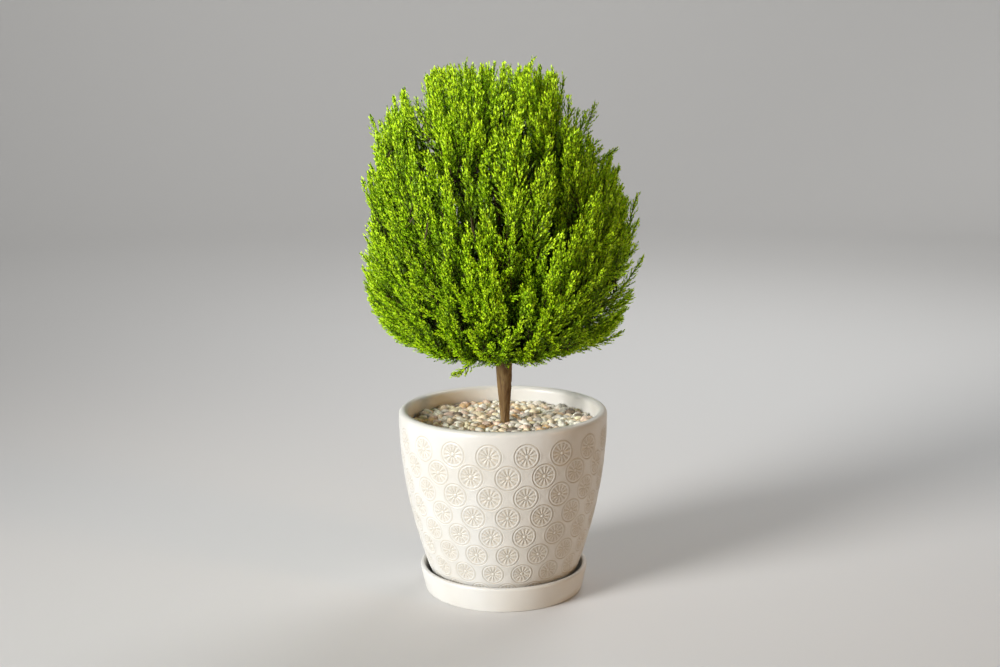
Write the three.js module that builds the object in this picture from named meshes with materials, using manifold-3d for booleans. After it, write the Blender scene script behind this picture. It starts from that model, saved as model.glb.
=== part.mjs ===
// Potted conifer topiary: a small standard with a clipped egg-shaped head on a short clear stem,
// in a glazed ceramic pot with a matching saucer and a dressing of gravel.
// Millimetres, +Z up. The origin is the middle of the saucer's flat underside, and -Y is the front.

import * as THREE from "three";
import { mergeVertices } from "three/addons/utils/BufferGeometryUtils.js";
import Module from "manifold-3d";

// Driving dimensions
const CLEARANCE = 0.3; // between pieces that rest on or pass through each other
const TURN = Math.PI * 2;
const SEGMENTS = 48; // round the pot and what fits in it

const SAUCER = { rim: 62, base: 58.5, height: 19.3, wall: 3.6, floor: 5, edge: 1.2 };
const POT = {
  rim: 76.3, // outer radius just under the lip
  top: 136,
  bellyTop: 131, // above this height the wall stands upright
  bellyDrop: 0.36, // share of the radius that the wall has lost at the ground
  bellyPower: 1.93,
  wall: 6.8,
  lip: 3.4, // rounding of the lip
  floor: 8,
  foot: 4, // rounding of the foot
};
const SOIL_TOP = 112;
const GRAVEL = { top: 124.2, uneven: 2, rings: 6, seed: 11 };

const TRUNK = {
  neck: { z: 124, x: 1.6, radius: 3.0 }, // where the stem leaves the gravel
  fork: { z: 171, x: 0.9, radius: 6.2 }, // swollen, where the lowest boughs leave
  tip: { z: 300, x: -4, radius: 1.6 },
  swell: [-6, 4], // the stem thickens from this far above the neck to this far above the fork
  taperPower: 0.7,
  sway: { size: 0.7, length: 30 },
  sides: 10,
  steps: 14,
};
const CROWN = {
  widest: 250, // height of the widest ring
  radius: 100,
  top: 388,
  bottom: 179,
  upperPower: 3.4,
  lowerPower: 3,
  taper: 0.16, // how much the upper part draws in
  offset: -2, // from the pot's axis
  lean: -5, // how much further to the left the upper part stands
  leanFrom: 275,
  leanTo: 335,
  fan: 186, // height of the point on the trunk that the boughs fan out from
  clearStem: 24, // bare space round the trunk inside the crown
  limbTips: 0.97, // how far out the boughs' lines go, as a share of the way to the crown's surface
};

// Rings of boughs, from the lowest. Each bough leaves the trunk between the two heights,
// for the point where the crown's surface is met at that elevation from the fan's point.
const RINGS = [
  { name: "skirt", count: 7, leaves: [174, 180], elevation: 5, turn: 14, sag: 0.03, shoots: 9 },
  { name: "waist", count: 7, leaves: [184, 194], elevation: 22, turn: 50, sag: 0.08, shoots: 10 },
  { name: "shoulder", count: 6, leaves: [200, 214], elevation: 45, turn: 30, sag: 0.1, shoots: 11 },
  { name: "top", count: 4, leaves: [230, 246], elevation: 66, turn: 62, sag: 0.06, shoots: 13 },
];
const PEAK = { shoots: 10, seed: 7001 }; // on the trunk's own tip
const WANDER = { azimuth: 8, elevation: 6 }; // degrees by which boughs stand out of line
const BOUGH = { radius: 2, tipRadius: 1.3, sides: 5, steps: 2, stem: 0.6 };
// The masses' dense hearts go out to a share of the way to the crown's surface,
// or to a depth under that surface if that is further.
const CORE = { share: 0.66, depth: 36, margin: 0.6, rough: 0.07, detail: 4, hollowSides: 14, seed: 31 };
const SHOOT = {
  choices: 40, // tips tried for each shoot, of which the one furthest from the others is taken
  spread: 0.75, // how far from the bough's own direction a shoot may end
  backing: 0.45, // for each millimetre that it ends from the bough's tip, it begins this much further back
  stop: [0.94, 1.02], // where the tips lie, as shares of the way out to the crown's surface
  bow: 0.12, // how far a shoot bends outwards before it turns up
  root: 13, // how deep in the core a spray starts
  firstNode: 0.04, // share of the bough's line between its end and the first shoot
  shortest: 24,
  width: 0.4, // of the length
  thickness: 0.05,
  cup: 0.7, // how far its side twigs stand out of its plane, in half thicknesses
  roll: [0.5, 0.9], // how far a spray is turned about its own line, so that neighbours overlap like slates
  facing: 8, // how far upwards its face looks, against its distance from the trunk
  ridge: 0.45, // share of its length at which it is thickest
  narrowings: [1, 0.8, 0.6], // widths tried until it fits its own space
  margin: 0.4, // between a spray and the next limb's space
  tipMargin: 2,
};
// Half an outline of a flat spray, as shares of its length and half width: side twigs point
// forward, with a notch after each.
const SPRAY_TEETH = [
  [0.46, 0.9],
  [0.5, 0.4],
  [0.76, 0.8],
  [0.77, 0.28],
];

const COLOURS = {
  ceramic: 0xe8e3d6,
  gravel: 0xc8b393,
  soil: 0x35271c,
  bark: 0x8d6440,
  twig: 0x6f5432,
  foliage: [0x7fa62a, 0x6f9a22, 0x8ab430, 0x95bd38],
};

const wasm = await Module();
wasm.setup();

// Small helpers

/** Random numbers from 0 to 1 that are the same on every run. */
function seeded(seed) {
  let state = seed;
  return () => {
    state = (state * 1664525 + 1013904223) % 4294967296;
    return state / 4294967296;
  };
}

function mix(a, b, share) {
  return a + (b - a) * share;
}

function radians(degrees) {
  return (degrees * TURN) / 360;
}

function smoothStep(from, to, value) {
  const share = Math.min(1, Math.max(0, (value - from) / (to - from)));
  return share * share * (3 - 2 * share);
}

/** The same shape with its shared vertices merged, and nothing but their positions. */
function welded(geometry) {
  const bare = geometry.clone();
  for (const name of ["normal", "uv"]) bare.deleteAttribute(name);
  return mergeVertices(bare, 1e-4);
}

function solidOf(geometry) {
  const merged = welded(geometry);
  const mesh = new wasm.Mesh({
    numProp: 3,
    vertProperties: new Float32Array(merged.attributes.position.array),
    triVerts: new Uint32Array(merged.index.array),
  });
  return new wasm.Manifold(mesh);
}

function geometryOf(solid) {
  const mesh = solid.getMesh();
  const positions = new Float32Array(mesh.numVert * 3);
  for (let i = 0; i < mesh.numVert; i++)
    positions.set(mesh.vertProperties.subarray(i * mesh.numProp, i * mesh.numProp + 3), i * 3);
  return new THREE.BufferGeometry()
    .setAttribute("position", new THREE.BufferAttribute(positions, 3))
    .setIndex(new THREE.BufferAttribute(new Uint32Array(mesh.triVerts), 1));
}

/**
 * The one largest body of a solid: scraps that a cut leaves loose are dropped. It is taken twice,
 * because a neck that is thinner than the mesh's rounding parts when the mesh is read again.
 */
function largestBody(solid) {
  const largest = (whole) => whole.decompose().reduce((a, b) => (b.volume() > a.volume() ? b : a));
  return largest(solidOf(geometryOf(largest(solid))));
}

function faceted(vertices, faces) {
  const positions = vertices.flatMap((v) => [v.x, v.y, v.z]);
  return new THREE.BufferGeometry()
    .setAttribute("position", new THREE.Float32BufferAttribute(positions, 3))
    .setIndex(faces.flat());
}

/** Turns a profile of [radius, height] pairs about the Z axis. */
function turned(profile, segments) {
  const points = profile.map(([radius, height]) => new THREE.Vector2(radius, height));
  return new THREE.LatheGeometry(points, segments).rotateX(Math.PI / 2);
}

/** A closed tapering limb along a curve, between two shares of it. */
function taperedLimb(curve, from, to, radiusAt, sides, steps) {
  const vertices = [];
  const faces = [];
  const reference = new THREE.Vector3(0.36, 0.86, 0.36).normalize();
  for (let i = 0; i <= steps; i++) {
    const share = mix(from, to, i / steps);
    const tangent = curve.getTangent(share);
    const across = new THREE.Vector3().crossVectors(tangent, reference).normalize();
    const up = new THREE.Vector3().crossVectors(across, tangent);
    for (let k = 0; k < sides; k++) {
      const angle = (k / sides) * TURN;
      vertices.push(
        curve.getPoint(share)
          .addScaledVector(across, Math.cos(angle) * radiusAt(share))
          .addScaledVector(up, Math.sin(angle) * radiusAt(share)),
      );
    }
  }
  for (let i = 0; i < steps; i++)
    for (let k = 0; k < sides; k++) {
      const a = i * sides + k;
      const b = i * sides + ((k + 1) % sides);
      faces.push([a, a + sides, b], [b, a + sides, b + sides]);
    }
  const last = steps * sides;
  for (let k = 1; k < sides - 1; k++) faces.push([0, k, k + 1], [last, last + k + 1, last + k]);
  return faceted(vertices, faces);
}

// Pot and saucer

function potRadiusAt(z) {
  const share = Math.max(0, (POT.bellyTop - z) / POT.bellyTop);
  return POT.rim * (1 - POT.bellyDrop * share ** POT.bellyPower);
}

/** Points of a quarter circle from one angle to another, as [radius, height] pairs. */
function arc(radius, height, size, fromDegrees, toDegrees, steps) {
  return Array.from({ length: steps + 1 }, (_, i) => {
    const angle = radians(mix(fromDegrees, toDegrees, i / steps));
    return [radius + size * Math.cos(angle), height + size * Math.sin(angle)];
  });
}

const potFoot = SAUCER.floor + CLEARANCE;
const potFloorTop = potFoot + POT.floor;

function makePot() {
  const footRadius = potRadiusAt(potFoot + POT.foot) - POT.foot;
  const outerSteps = 7;
  const innerSteps = 4;
  const outer = Array.from({ length: outerSteps + 1 }, (_, i) => {
    const z = mix(potFoot + POT.foot, POT.top - POT.lip, i / outerSteps);
    return [potRadiusAt(z), z];
  });
  const inner = Array.from({ length: innerSteps + 1 }, (_, i) => {
    const z = mix(POT.top - POT.lip, potFloorTop, i / innerSteps);
    return [potRadiusAt(z) - POT.wall, z];
  });
  const profile = [
    [0, potFoot],
    ...arc(footRadius, potFoot + POT.foot, POT.foot, -90, -30, 2),
    ...outer,
    ...arc(potRadiusAt(POT.top) - POT.lip, POT.top - POT.lip, POT.lip, 30, 150, 4),
    ...inner,
    [0, potFloorTop],
  ];
  return turned(profile, SEGMENTS);
}

function makeSaucer() {
  const lip = SAUCER.wall / 2;
  const profile = [
    [0, 0],
    [SAUCER.base - SAUCER.edge, 0],
    [SAUCER.base, SAUCER.edge],
    ...arc(SAUCER.rim - lip, SAUCER.height - lip, lip, 0, 180, 3),
    [SAUCER.base - SAUCER.wall, SAUCER.floor + SAUCER.edge],
    [SAUCER.base - SAUCER.wall - SAUCER.edge, SAUCER.floor],
    [0, SAUCER.floor],
  ];
  return turned(profile, SEGMENTS);
}

function makeSoil() {
  const steps = 3;
  const side = Array.from({ length: steps + 1 }, (_, i) => {
    const z = mix(potFloorTop + CLEARANCE, SOIL_TOP, i / steps);
    return [potRadiusAt(z) - POT.wall - 2 * CLEARANCE, z];
  });
  return turned([[0, potFloorTop + CLEARANCE], ...side, [0, SOIL_TOP]], SEGMENTS);
}

// Trunk

/** The trunk's line, from its flat cut on the soil to its tip inside the crown. */
class TrunkCurve extends THREE.Curve {
  getPoint(share, target = new THREE.Vector3()) {
    const z = mix(SOIL_TOP + CLEARANCE, TRUNK.tip.z, share);
    const low = mix(TRUNK.neck.x, TRUNK.fork.x, (z - TRUNK.neck.z) / (TRUNK.fork.z - TRUNK.neck.z));
    const high = mix(TRUNK.fork.x, TRUNK.tip.x, (z - TRUNK.fork.z) / (TRUNK.tip.z - TRUNK.fork.z));
    const x = z < TRUNK.fork.z ? low : high;
    return target.set(x, TRUNK.sway.size * Math.sin((z - SOIL_TOP) / TRUNK.sway.length), z);
  }
}

const trunkCurve = new TrunkCurve();

function trunkShareAt(z) {
  return (z - SOIL_TOP - CLEARANCE) / (TRUNK.tip.z - SOIL_TOP - CLEARANCE);
}

/** Slim at the gravel, swollen at the fork, then tapering to the tip. */
function trunkRadiusAt(share) {
  const { neck, fork, tip, swell } = TRUNK;
  const z = trunkCurve.getPoint(share).z;
  const swollen = smoothStep(neck.z + swell[0], fork.z + swell[1], z);
  if (z < fork.z) return mix(neck.radius, fork.radius, swollen);
  return mix(fork.radius, tip.radius, ((z - fork.z) / (tip.z - fork.z)) ** TRUNK.taperPower);
}

function makeTrunk(extra = 0) {
  const radiusAt = (share) => trunkRadiusAt(share) + extra;
  return taperedLimb(trunkCurve, 0, 1, radiusAt, TRUNK.sides, TRUNK.steps);
}

// The head of foliage

function crownAxisX(z) {
  return CROWN.offset + CROWN.lean * smoothStep(CROWN.leanFrom, CROWN.leanTo, z);
}

/** The crown's outline: its radius at a height, 0 outside it. */
function crownRadiusAt(z) {
  const upper = z > CROWN.widest;
  const share = upper
    ? (z - CROWN.widest) / (CROWN.top - CROWN.widest)
    : (CROWN.widest - z) / (CROWN.widest - CROWN.bottom);
  if (share >= 1) return 0;
  const power = upper ? CROWN.upperPower : CROWN.lowerPower;
  const drawnIn = upper ? 1 - CROWN.taper * share : 1;
  return CROWN.radius * drawnIn * (1 - share ** power) ** (1 / power);
}

const fanPoint = new THREE.Vector3(trunkCurve.getPoint(trunkShareAt(CROWN.fan)).x, 0, CROWN.fan);

/** How far it is from the fan's point to the crown's surface, along a unit vector, by halving. */
function reach(direction) {
  const halvings = 24;
  let inside = 0;
  let outside = CROWN.top;
  for (let i = 0; i < halvings; i++) {
    const middle = (inside + outside) / 2;
    const p = fanPoint.clone().addScaledVector(direction, middle);
    if (Math.hypot(p.x - crownAxisX(p.z), p.y) < crownRadiusAt(p.z)) inside = middle;
    else outside = middle;
  }
  return inside;
}

function directionOf(azimuth, elevation) {
  const level = Math.cos(elevation);
  return new THREE.Vector3(level * Math.cos(azimuth), level * Math.sin(azimuth), Math.sin(elevation));
}

/** A bough, with its line from the trunk to the crown's surface, and how many shoots it carries. */
function makeLimb(name, start, direction, sag, shoots, seed) {
  const tip = fanPoint.clone().addScaledVector(direction, CROWN.limbTips * reach(direction));
  const control = start.clone().lerp(tip, 0.5);
  control.z -= sag * start.distanceTo(tip);
  const curve = new THREE.QuadraticBezierCurve3(start, control, tip);
  return { name, direction, curve, shoots, seed, entry: 0, stemEnd: 1 };
}

function makeLimbs() {
  const limbs = [];
  for (const ring of RINGS)
    for (let k = 0; k < ring.count; k++) {
      const random = seeded(101 + limbs.length * 17);
      const azimuth = ring.turn + (k * 360) / ring.count + WANDER.azimuth * (random() - 0.5);
      const elevation = ring.elevation + WANDER.elevation * (random() - 0.5);
      const direction = directionOf(radians(azimuth), radians(elevation));
      const staggered = ((k * 3) % ring.count) / (ring.count - 1);
      const start = trunkCurve.getPoint(trunkShareAt(mix(...ring.leaves, staggered)));
      const seed = 1000 + limbs.length * 37;
      limbs.push(makeLimb(`${ring.name}_${k + 1}`, start, direction, ring.sag, ring.shoots, seed));
    }
  const peak = new THREE.Vector3(crownAxisX(CROWN.top), 0, CROWN.top).sub(fanPoint).normalize();
  limbs.push(makeLimb("peak", trunkCurve.getPoint(1), peak, 0, PEAK.shoots, PEAK.seed));
  return limbs;
}

const limbs = makeLimbs();
const boughs = limbs.slice(0, -1);

/**
 * How far a point lies inside a limb's own space, which is the cone of all directions from the
 * fan's point that are nearer to that limb's direction than to any other's.
 */
function insideOwnSpace(p, limb) {
  const ray = p.clone().sub(fanPoint);
  let least = Infinity;
  for (const other of limbs) {
    if (other === limb) continue;
    const apart = limb.direction.clone().sub(other.direction);
    least = Math.min(least, ray.dot(apart) / apart.length());
  }
  return least;
}

/** Whether a point is clear of the bare space round the trunk. */
function clearOfStem(p) {
  return p.z > TRUNK.tip.z || Math.hypot(p.x - crownAxisX(p.z), p.y) > CROWN.clearStem;
}

/** The share of a bough's line where it enters its own space: there it ends and its foliage begins. */
function entryShare(limb) {
  for (let share = 0.05; share < 0.7; share += 0.01) {
    const p = limb.curve.getPoint(share);
    if (clearOfStem(p) && insideOwnSpace(p, limb) > BOUGH.radius + SHOOT.margin) return share;
  }
  throw new Error(`${limb.name} never enters its own space`);
}

for (const limb of boughs) limb.entry = entryShare(limb);
for (const limb of limbs) limb.stemEnd = heartShare(limb.curve) ?? BOUGH.stem;

function boughGeometry(limb, extra = 0) {
  const end = limb.entry + extra / limb.curve.getLength();
  const radiusAt = (share) => mix(BOUGH.radius, BOUGH.tipRadius, share / limb.entry) + extra;
  return taperedLimb(limb.curve, 0, end, radiusAt, BOUGH.sides, BOUGH.steps);
}

/** The last share of a line, coming back from its tip, that lies well inside the crown's dense heart. */
function heartShare(curve) {
  for (let share = 0.9; share > 0; share -= 0.02) {
    const ray = curve.getPoint(share).sub(fanPoint);
    const out = ray.length();
    if (out < coreReach(ray.divideScalar(out)) - SHOOT.root) return share;
  }
  return null;
}

/** The line of a shoot, from its node on the bough to its tip, bending outwards before it turns up. */
function shootCurve(node, tip) {
  const control = node.clone().lerp(tip, 0.5);
  const outward = new THREE.Vector3(node.x - fanPoint.x, node.y, 0).normalize();
  const bow = SHOOT.bow * node.distanceTo(tip);
  control.addScaledVector(outward, bow);
  control.z -= bow / 2;
  return new THREE.QuadraticBezierCurve3(node, control, tip);
}

/** Where the shoots of one limb end: spread evenly over its share of the crown's surface. */
function shootTips(limb, random) {
  const across = new THREE.Vector3(-limb.direction.y, limb.direction.x, 0.001).normalize();
  const up = new THREE.Vector3().crossVectors(limb.direction, across);
  const tips = [limb.curve.getPoint(1)];
  for (let k = 1; k < limb.shoots; k++) {
    let best = null;
    let furthest = 0;
    for (let choice = 0; choice < SHOOT.choices; choice++) {
      const direction = limb.direction.clone()
        .addScaledVector(across, SHOOT.spread * (2 * random() - 1))
        .addScaledVector(up, SHOOT.spread * (2 * random() - 1))
        .normalize();
      const out = mix(SHOOT.stop[0], SHOOT.stop[1], random());
      const tip = fanPoint.clone().addScaledVector(direction, out * reach(direction));
      if (insideOwnSpace(tip, limb) < SHOOT.tipMargin || !clearOfStem(tip)) continue;
      const distance = Math.min(...tips.map((other) => other.distanceTo(tip)));
      if (distance <= furthest) continue;
      furthest = distance;
      best = tip;
    }
    if (best) tips.push(best);
  }
  return tips;
}

/**
 * The shoots of one limb, with the turn of each one's spray. Those that end beside the bough's tip
 * are the last to leave it.
 */
function shootsOf(limb) {
  const random = seeded(limb.seed);
  const length = limb.curve.getLength();
  const end = limb.curve.getPoint(1);
  const shoots = [];
  for (const tip of shootTips(limb, random)) {
    const roll = mix(SHOOT.roll[0], SHOOT.roll[1], random());
    const back = (SHOOT.backing * tip.distanceTo(end)) / length;
    const node = limb.curve.getPoint(Math.max(limb.entry + SHOOT.firstNode, limb.stemEnd - back));
    if (node.distanceTo(tip) > SHOOT.shortest) shoots.push({ curve: shootCurve(node, tip), roll });
  }
  return shoots;
}

/** A flat spray with side twigs that point forward: a toothed blade with a ridge on both faces. */
function sprayGeometry(shoot, narrowing) {
  const start = heartShare(shoot.curve) ?? 0;
  const size = (1 - start) * shoot.curve.getLength();
  const direction = shoot.curve.getTangent(0.6);
  const node = shoot.curve.getPoint(0);
  const out = new THREE.Vector3(node.x - fanPoint.x, node.y, SHOOT.facing).normalize();
  const across = new THREE.Vector3().crossVectors(direction, out).normalize();
  across.applyAxisAngle(direction, shoot.roll);
  const normal = new THREE.Vector3().crossVectors(across, direction);
  const halfWidth = (size * SHOOT.width * narrowing) / 2;
  const halfThick = (size * SHOOT.thickness) / 2;
  const at = (along, side, lift) =>
    shoot.curve.getPoint(mix(start, 1, along))
      .addScaledVector(across, side * halfWidth)
      .addScaledVector(normal, lift * halfThick);
  const edge = (hand) =>
    SPRAY_TEETH.map(([along, side], i) => at(along, side * hand, i % 2 ? 0 : SHOOT.cup));
  const outline = [at(0, 0, 0), ...edge(1), at(1, 0, 0), ...edge(-1).reverse()];
  const top = outline.length;
  const faces = outline.flatMap((_, i) => [
    [top, i, (i + 1) % top],
    [top + 1, (i + 1) % top, i],
  ]);
  return faceted([...outline, at(SHOOT.ridge, 0, 1), at(SHOOT.ridge, 0, -1)], faces);
}

/** The widest form of a spray that keeps to its limb's own space, or null. */
function fittedSpray(shoot, limb) {
  const vertex = new THREE.Vector3();
  for (const narrowing of SHOOT.narrowings) {
    const spray = sprayGeometry(shoot, narrowing);
    const positions = spray.attributes.position;
    let least = Infinity;
    for (let i = 0; i < positions.count; i++)
      least = Math.min(least, insideOwnSpace(vertex.fromBufferAttribute(positions, i), limb));
    if (least > SHOOT.margin) return solidOf(spray);
  }
  return null;
}

/** How far out from the fan's point the dense hearts of the masses go. */
function coreReach(direction) {
  const surface = reach(direction);
  return Math.max(CORE.share * surface, surface - CORE.depth);
}

/** The dense heart of the whole crown, rough outside and hollow round the trunk. */
function makeHeart() {
  const random = seeded(CORE.seed);
  const ball = welded(new THREE.IcosahedronGeometry(1, CORE.detail));
  const positions = ball.attributes.position;
  const direction = new THREE.Vector3();
  for (let i = 0; i < positions.count; i++) {
    direction.fromBufferAttribute(positions, i).normalize();
    const out = coreReach(direction) * (1 - CORE.rough * random());
    const p = fanPoint.clone().addScaledVector(direction, out);
    positions.setXYZ(i, p.x, p.y, p.z);
  }
  const height = TRUNK.tip.z + SHOOT.root / 3 - CROWN.bottom;
  const hollow = new THREE.CylinderGeometry(CROWN.clearStem, CROWN.clearStem, height, CORE.hollowSides);
  hollow.rotateX(Math.PI / 2).translate(0, 0, CROWN.bottom + height / 2);
  return solidOf(ball).subtract(solidOf(hollow));
}

/** The part of the crown's dense heart that lies in one limb's own space. */
function coreOf(limb, heart) {
  let core = heart;
  for (const other of limbs) {
    if (other === limb) continue;
    const apart = limb.direction.clone().sub(other.direction).normalize();
    core = core.trimByPlane(apart.toArray(), apart.dot(fanPoint) + CORE.margin);
  }
  return core;
}

/** The short stem that joins a mass to its bough, or to the trunk's tip. */
function stemGeometry(limb) {
  const from = limb.entry + CLEARANCE / limb.curve.getLength();
  return taperedLimb(limb.curve, from, limb.stemEnd, () => BOUGH.tipRadius, 4, 2);
}

/** Cuts a solid clear of those pieces that it touches. */
function cutClear(solid, fatPieces) {
  let cut = solid;
  for (const fat of fatPieces) if (cut.intersect(fat).volume() > 0) cut = cut.subtract(fat);
  return largestBody(cut);
}

function makeMass(limb, heart, fatWood) {
  const sprays = shootsOf(limb).map((shoot) => fittedSpray(shoot, limb)).filter(Boolean);
  const parts = [coreOf(limb, heart), solidOf(stemGeometry(limb)), ...sprays];
  return cutClear(wasm.Manifold.union(parts), fatWood);
}

// Gravel

/** A layer of gravel round the trunk's foot, with an uneven top. */
function makeGravel(fatTrunk) {
  const random = seeded(GRAVEL.seed);
  const bottom = SOIL_TOP + CLEARANCE;
  const radius = potRadiusAt(SOIL_TOP) - POT.wall - 3 * CLEARANCE;
  const surface = Array.from({ length: GRAVEL.rings }, (_, i) => [
    radius * (1 - (i + 0.4) / GRAVEL.rings),
    GRAVEL.top,
  ]);
  const edge = [radius, GRAVEL.top - GRAVEL.uneven];
  const profile = [[0, bottom], [radius, bottom], edge, ...surface, [0, GRAVEL.top]];
  const layer = welded(turned(profile, SEGMENTS));
  const positions = layer.attributes.position;
  for (let i = 0; i < positions.count; i++) {
    const lift = GRAVEL.uneven * (2 * random() - 1);
    if (positions.getZ(i) > GRAVEL.top - GRAVEL.uneven / 2) positions.setZ(i, GRAVEL.top + lift);
  }
  return solidOf(layer).subtract(fatTrunk);
}

// Assembly

const topiary = new THREE.Group();

function addMesh(name, geometry, colour, roughness) {
  const material = new THREE.MeshStandardMaterial({ color: colour, roughness, metalness: 0 });
  const mesh = new THREE.Mesh(geometry, material);
  mesh.name = name;
  topiary.add(mesh);
}

const trunk = makeTrunk();
const fatTrunk = solidOf(makeTrunk(CLEARANCE));

addMesh("saucer", makeSaucer(), COLOURS.ceramic, 0.45);
addMesh("pot", makePot(), COLOURS.ceramic, 0.5);
addMesh("soil", makeSoil(), COLOURS.soil, 0.95);
addMesh("gravel", geometryOf(makeGravel(fatTrunk)), COLOURS.gravel, 0.8);
addMesh("trunk", trunk, COLOURS.bark, 0.85);

for (const limb of boughs) {
  const bough = largestBody(solidOf(boughGeometry(limb)).subtract(fatTrunk));
  addMesh(`bough_${limb.name}`, geometryOf(bough), COLOURS.twig, 0.85);
}

const fatWood = [fatTrunk, ...boughs.map((limb) => solidOf(boughGeometry(limb, CLEARANCE)))];
const heart = makeHeart();
limbs.forEach((limb, i) => {
  const mass = makeMass(limb, heart, fatWood);
  addMesh(`foliage_${limb.name}`, geometryOf(mass), COLOURS.foliage[i % COLOURS.foliage.length], 0.8);
});

export default topiary;
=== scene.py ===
"""A small clipped conifer in a stamped ceramic pot, dressed around its fixed frame of solids."""

import math
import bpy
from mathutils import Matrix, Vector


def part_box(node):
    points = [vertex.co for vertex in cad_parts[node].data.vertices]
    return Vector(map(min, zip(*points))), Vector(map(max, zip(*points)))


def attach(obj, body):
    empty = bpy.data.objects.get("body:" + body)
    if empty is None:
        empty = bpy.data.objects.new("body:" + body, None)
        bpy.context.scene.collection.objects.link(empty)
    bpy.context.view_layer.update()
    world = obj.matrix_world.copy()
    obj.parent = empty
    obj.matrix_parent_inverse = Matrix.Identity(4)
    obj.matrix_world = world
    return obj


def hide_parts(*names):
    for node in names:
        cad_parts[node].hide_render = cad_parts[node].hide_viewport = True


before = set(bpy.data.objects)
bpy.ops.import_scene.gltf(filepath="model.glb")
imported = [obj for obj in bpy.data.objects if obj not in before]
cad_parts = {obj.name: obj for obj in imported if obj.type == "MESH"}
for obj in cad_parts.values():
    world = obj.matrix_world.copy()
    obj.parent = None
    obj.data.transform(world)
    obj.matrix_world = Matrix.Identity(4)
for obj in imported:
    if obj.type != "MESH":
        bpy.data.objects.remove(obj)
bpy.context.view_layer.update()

from types import SimpleNamespace as Sizes

import bmesh
import bpy
import numpy as np
from bpy.props import FloatProperty, FloatVectorProperty, IntProperty, PointerProperty
from mathutils import Matrix, Vector, noise

bl_info = {
    "name": "Potted conifer topiary",
    "version": (1, 0, 0),
    "blender": (4, 5, 0),
    "location": "3D View > Sidebar > Topiary",
    "description": "Stamped pot and saucer, gravel, bark and feathery foliage of a small topiary",
    "category": "Add Mesh",
}

MM = 0.001
TURN = 2 * math.pi
GOLDEN_ANGLE = math.pi * (3 - math.sqrt(5))
THIRDS = np.arange(3) * TURN / 3
STEADY = (0.36, 0.86, 0.36)  # a direction that no limb runs along
MERGE = 0.001 * MM
BODY = "root"

pot_low, pot_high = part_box("pot")
saucer_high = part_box("saucer")[1]
trunk_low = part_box("trunk")[0]

# The pot's shape: its belly curves in towards the ground, and its wall stands upright at the top
POT = Sizes(
    rim=pot_high.x,
    top=pot_high.z,
    foot=pot_low.z,
    belly_top=131 * MM,
    belly_drop=0.36,
    belly_power=1.93,
    wall=6.8 * MM,
    lip=3.6 * MM,
    lip_depth=2.2,  # of the lip's radius, from the rim down to the inner wall
    inner_steps=(100 * MM, 60 * MM),  # heights at which the inner wall is kept along the outer
    floor=8 * MM,
    foot_round=4 * MM,
)
# The stamped medallions stand in columns, each second one half a row higher
STAMPS = Sizes(
    columns=36,
    first=math.radians(2.4),  # the column of the lowest row, to the right of the front
    lowest=13.6 * MM,
    row=30 * MM,
    rows=9,  # half rows, of which the uppermost is plain
    bottom=14 * MM,
    top=128.6 * MM,
    around=48,  # points round a medallion
    fills=0.975,  # the most of its diamond of the wall that it may fill
    wander=0.45 * MM,
    merge=0.02 * MM,
    seed=5,
)
SAUCER = Sizes(
    rim=saucer_high.x,
    height=saucer_high.z,
    base=58.5 * MM,
    flare=(0.5, 0.45),  # how far out and how far up the outside is bent
    wall=3.6 * MM,
    floor=5 * MM,
    edge=1.2 * MM,
    steps=160,
)
GRAVEL = Sizes(
    radius=67.2 * MM,
    layers=((118.8 * MM, 0.4 * MM, 21), (123.2 * MM, 0.9 * MM, 22)),  # height, wander, seed
    shapes=6,
    lumps=Sizes(size=0.9, depth=0.42, apart=7.3),
    lengths=((0.68, 1.35), (0.85, 1.1)),  # shares of the usual length, drawn one after the other
    widths=(0.7, 0.95),  # shares of a stone's own length
    heights=(0.6, 0.85),
    tilt=0.35,  # radians
    rounds=40,  # in which the pebbles push each other apart
    push=0.35,
    closeness=0.86,  # of two stones' half lengths, at which they stop
    stem_closeness=0.8,
    edge_closeness=0.9,
    edge=1.6 * MM,
)
# The stones' tones, and how many of them have each one
STONES = {
    "cream": 0.28,
    "beige": 0.18,
    "sand": 0.17,
    "grey": 0.12,
    "pink": 0.13,
    "ochre": 0.09,
    "dark": 0.03,
}

# The trunk, and the head that its boughs fan out into
TRUNK = Sizes(
    foot=trunk_low.z,
    soil=112 * MM,
    neck=Sizes(z=124 * MM, x=1.6 * MM, radius=3.0 * MM),
    fork=Sizes(z=171 * MM, x=0.9 * MM, radius=6.2 * MM),
    tip=Sizes(z=300 * MM, x=-4 * MM, radius=1.6 * MM),
    swell=(-6 * MM, 4 * MM),
    taper_power=0.7,
    sway=0.7 * MM,
    sway_length=30 * MM,
    around=56,
    along=300,
)
BARK = Sizes(
    across=620,  # how fine the furrows are, and how long they run
    along=95,
    ridges=2.4,
    flakes=2.3,
    ridge_share=0.75,
    flake_share=0.35,
    proud=0.25,  # of the relief, how far the ridges stand out from the solid's size
    knots=Sizes(depth=0.5 * MM, along=70),
    bough_share=0.3,
    apart=11,
)
HEAD = Sizes(
    widest=250 * MM,
    radius=100 * MM,
    top=388 * MM,
    bottom=179 * MM,
    upper_power=3.4,  # the higher they are, the squarer the outline
    lower_power=3,
    taper=0.16,
    offset=-2 * MM,
    lean=-5 * MM,
    lean_from=275 * MM,
    lean_to=335 * MM,
    fan=186 * MM,  # the height from which all the limbs' spaces open
    clear_stem=24 * MM,
    limb_tips=0.97,
    halvings=24,
)
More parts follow.
